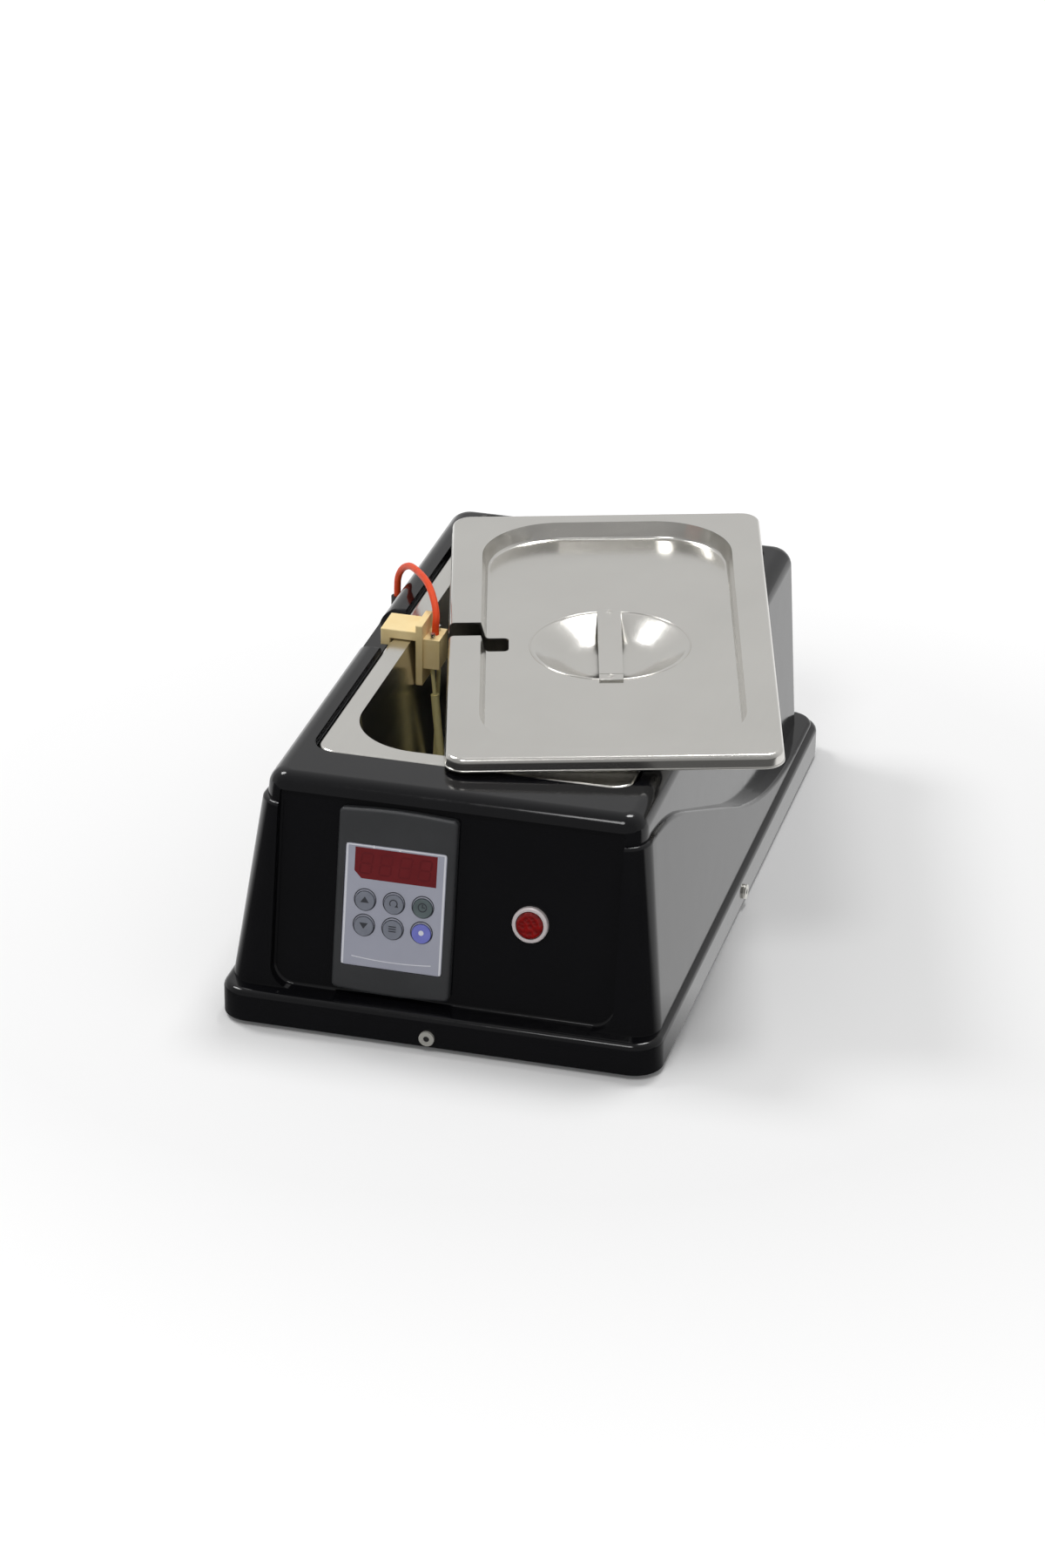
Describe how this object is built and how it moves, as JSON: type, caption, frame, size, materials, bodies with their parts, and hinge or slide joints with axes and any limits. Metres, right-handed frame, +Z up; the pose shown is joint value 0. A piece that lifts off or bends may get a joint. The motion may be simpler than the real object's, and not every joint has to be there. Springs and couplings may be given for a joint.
{
  "type": "bench-top heated well",
  "caption": "Black moulded heated well with a lift-out steel pan, loose notched lid, clip-on temperature probe, panel controller and red lit button.",
  "frame": {"origin": "on the bench, under the middle of the flange", "axes": "+X to the right seen from the front, +Y to the back, +Z up"},
  "size_m": [0.2853, 0.4192, 0.1565],
  "materials": {
    "black_abs": "gloss",
    "zinc_plate": "satin",
    "screw_steel": "satin",
    "foot_rubber": "matt",
    "liner_aluminium": "satin",
    "silicone_mat": "matt",
    "fibre_blanket": "matt",
    "cutout_plastic": "matt",
    "stainless": "satin",
    "bezel_plastic": "satin",
    "face_film": "satin",
    "red_window": "gloss",
    "key_grey": "satin",
    "key_green_grey": "satin",
    "key_blue": "satin",
    "case_plastic": "matt",
    "board_laminate": "satin",
    "digit_block": "satin",
    "ring_chrome": "polished",
    "red_lens": "gloss",
    "inlet_plastic": "satin",
    "contact_brass": "satin",
    "strip_plastic": "matt",
    "lead_grey": "matt",
    "gland_rubber": "matt",
    "orange_silicone": "satin",
    "tan_plastic": "satin",
    "probe_brass": "satin",
    "terminal_nickel": "satin"
  },
  "bodies": {
    "base": {"housing": "black_abs", "base_plate": "zinc_plate", "flange_screws": "screw_steel", "foot_screws": "screw_steel", "inlet_screws": "screw_steel", "strip_screws": "screw_steel", "rubber_feet": "foot_rubber", "well_liner": "liner_aluminium", "heater_mat": "silicone_mat", "insulation": "fibre_blanket", "safety_cutout": "cutout_plastic", "controller_bezel": "bezel_plastic", "controller_face": "face_film", "display_window": "red_window", "controller_case": "case_plastic", "controller_terminals": "case_plastic", "controller_clips": "case_plastic", "switch_barrel": "case_plastic", "switch_nut": "case_plastic", "controller_board": "board_laminate", "display_module": "digit_block", "switch_ring": "ring_chrome", "mains_inlet": "inlet_plastic", "inlet_pins": "contact_brass", "earth_stud": "contact_brass", "terminal_strip": "strip_plastic", "mains_leads": "lead_grey", "heater_leads": "lead_grey", "probe_lead": "lead_grey", "cable_gland": "gland_rubber", "probe_cable_outer": "orange_silicone"},
    "pan": {"pan": "stainless", "probe_cable_inner": "orange_silicone"},
    "lid": {"lid": "stainless", "lid_grip_bar": "stainless"},
    "probe": {"probe_clip": "tan_plastic", "probe_socket": "tan_plastic", "probe_rods": "probe_brass", "probe_sleeve": "probe_brass", "probe_terminals": "terminal_nickel"},
    "power_button": {"power_button": "red_lens"},
    "key_top_left": {"key_top_left": "key_grey"},
    "key_top_middle": {"key_top_middle": "key_grey"},
    "key_top_right": {"key_top_right": "key_green_grey"},
    "key_bottom_left": {"key_bottom_left": "key_grey"},
    "key_bottom_middle": {"key_bottom_middle": "key_grey"},
    "key_bottom_right": {"key_bottom_right": "key_blue"}
  },
  "joints": [
    {"name": "pan_lift", "type": "slide", "parent": "base", "child": "pan", "axis": [0, 0, 1], "range_m": [0, 0.13], "deforming": ["probe_cable_outer"]},
    {"name": "lid_lift", "type": "slide", "parent": "pan", "child": "lid", "axis": [0, 0, 1], "range_m": [0, 0.1]},
    {"name": "probe_lift", "type": "slide", "parent": "pan", "child": "probe", "axis": [0, 0, 1], "range_m": [0, 0.1], "deforming": ["probe_cable_inner"]},
    {"name": "button_press", "type": "slide", "parent": "base", "child": "power_button", "axis": [0, 0.981, -0.1942], "range_m": [0, 0.002], "stiffness_N_per_m": 900},
    {"name": "key_top_left_press", "type": "slide", "parent": "base", "child": "key_top_left", "axis": [0, 0.981, -0.1942], "range_m": [0, 0.0008], "stiffness_N_per_m": 900},
    {"name": "key_top_middle_press", "type": "slide", "parent": "base", "child": "key_top_middle", "axis": [0, 0.981, -0.1942], "range_m": [0, 0.0008], "stiffness_N_per_m": 900},
    {"name": "key_top_right_press", "type": "slide", "parent": "base", "child": "key_top_right", "axis": [0, 0.981, -0.1942], "range_m": [0, 0.0008], "stiffness_N_per_m": 900},
    {"name": "key_bottom_left_press", "type": "slide", "parent": "base", "child": "key_bottom_left", "axis": [0, 0.981, -0.1942], "range_m": [0, 0.0008], "stiffness_N_per_m": 900},
    {"name": "key_bottom_middle_press", "type": "slide", "parent": "base", "child": "key_bottom_middle", "axis": [0, 0.981, -0.1942], "range_m": [0, 0.0008], "stiffness_N_per_m": 900},
    {"name": "key_bottom_right_press", "type": "slide", "parent": "base", "child": "key_bottom_right", "axis": [0, 0.981, -0.1942], "range_m": [0, 0.0008], "stiffness_N_per_m": 900}
  ]
}
